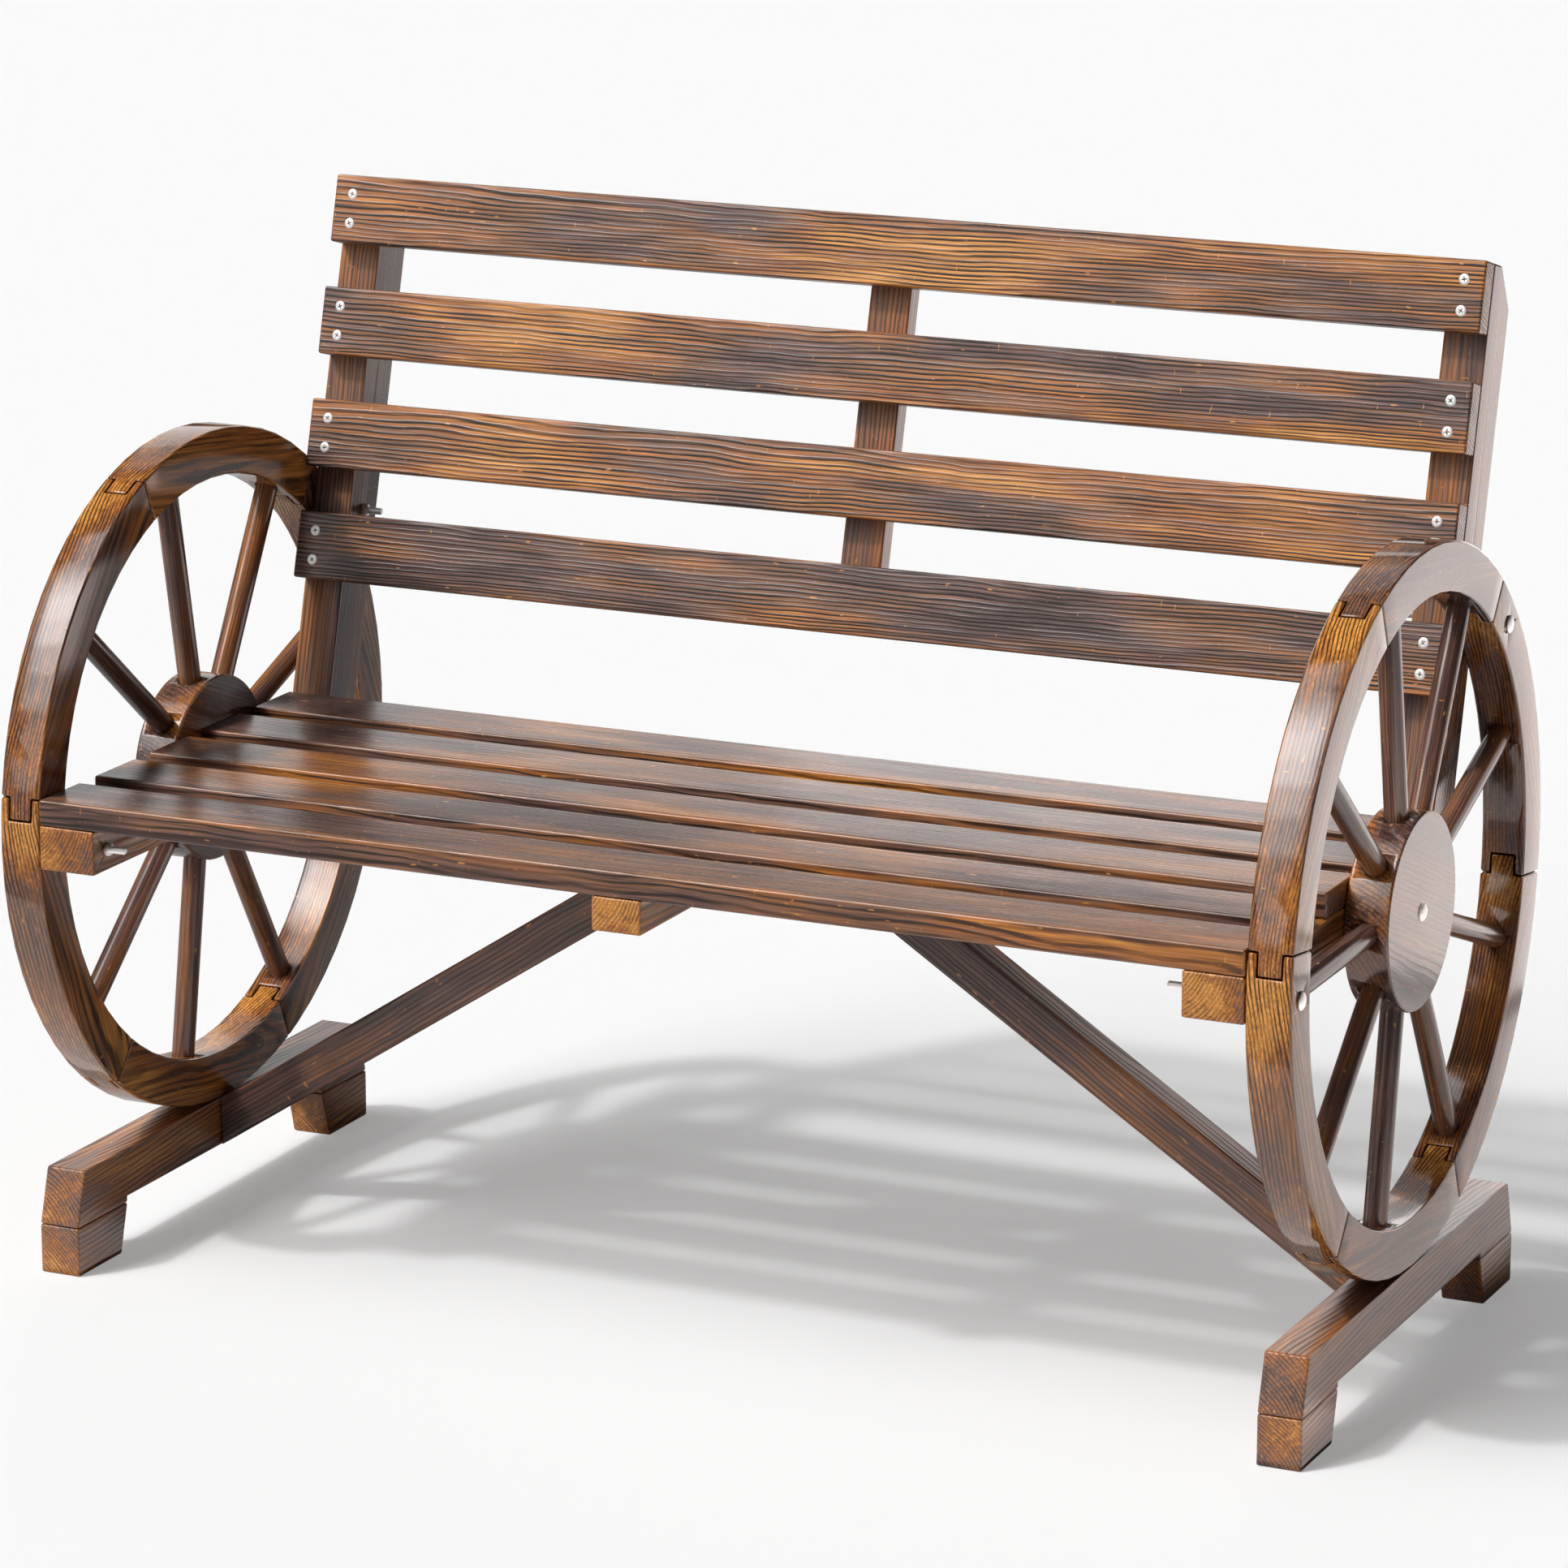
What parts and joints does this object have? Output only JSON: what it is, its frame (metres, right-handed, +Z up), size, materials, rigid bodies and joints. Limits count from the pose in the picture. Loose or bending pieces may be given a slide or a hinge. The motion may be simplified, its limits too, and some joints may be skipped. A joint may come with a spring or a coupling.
{
  "type": "wagon wheel garden bench",
  "caption": "Rustic wooden garden bench with wagon wheel arm ends, a slatted seat and leaning slatted back on foot rails.",
  "frame": {"origin": "floor level, midway between the wheels and below the wheels' axis", "axes": "+X along the bench to the right as seen from the front, +Y from front to back, +Z up"},
  "size_m": [1.157, 0.5999, 0.8821],
  "materials": {
    "torched_fir": "carbonised, satin clear coat",
    "zinc_steel": "bright zinc plate"
  },
  "bodies": {
    "root": {"left_wheel_felloe_1": "torched_fir", "left_wheel_felloe_2": "torched_fir", "left_wheel_felloe_3": "torched_fir", "left_wheel_felloe_4": "torched_fir", "left_wheel_felloe_5": "torched_fir", "left_wheel_felloe_6": "torched_fir", "right_wheel_felloe_1": "torched_fir", "right_wheel_felloe_2": "torched_fir", "right_wheel_felloe_3": "torched_fir", "right_wheel_felloe_4": "torched_fir", "right_wheel_felloe_5": "torched_fir", "right_wheel_felloe_6": "torched_fir", "left_wheel_spoke_1": "torched_fir", "left_wheel_spoke_2": "torched_fir", "left_wheel_spoke_3": "torched_fir", "left_wheel_spoke_4": "torched_fir", "left_wheel_spoke_5": "torched_fir", "left_wheel_spoke_6": "torched_fir", "left_wheel_spoke_7": "torched_fir", "left_wheel_spoke_8": "torched_fir", "left_wheel_spoke_9": "torched_fir", "right_wheel_spoke_1": "torched_fir", "right_wheel_spoke_2": "torched_fir", "right_wheel_spoke_3": "torched_fir", "right_wheel_spoke_4": "torched_fir", "right_wheel_spoke_5": "torched_fir", "right_wheel_spoke_6": "torched_fir", "right_wheel_spoke_7": "torched_fir", "right_wheel_spoke_8": "torched_fir", "right_wheel_spoke_9": "torched_fir", "left_wheel_hub": "torched_fir", "right_wheel_hub": "torched_fir", "seat_slat_1": "torched_fir", "seat_slat_2": "torched_fir", "seat_slat_3": "torched_fir", "seat_slat_4": "torched_fir", "seat_slat_5": "torched_fir", "left_seat_bearer": "torched_fir", "right_seat_bearer": "torched_fir", "centre_seat_bearer": "torched_fir", "back_slat_1": "torched_fir", "back_slat_2": "torched_fir", "back_slat_3": "torched_fir", "back_slat_4": "torched_fir", "left_back_post": "torched_fir", "right_back_post": "torched_fir", "centre_back_batten": "torched_fir", "left_brace": "torched_fir", "right_brace": "torched_fir", "left_foot_rail": "torched_fir", "right_foot_rail": "torched_fir", "left_front_foot_block": "torched_fir", "left_rear_foot_block": "torched_fir", "right_front_foot_block": "torched_fir", "right_rear_foot_block": "torched_fir", "left_front_wheel_bolt": "zinc_steel", "left_rear_wheel_bolt": "zinc_steel", "right_front_wheel_bolt": "zinc_steel", "right_rear_wheel_bolt": "zinc_steel"}
  },
  "joints": []
}
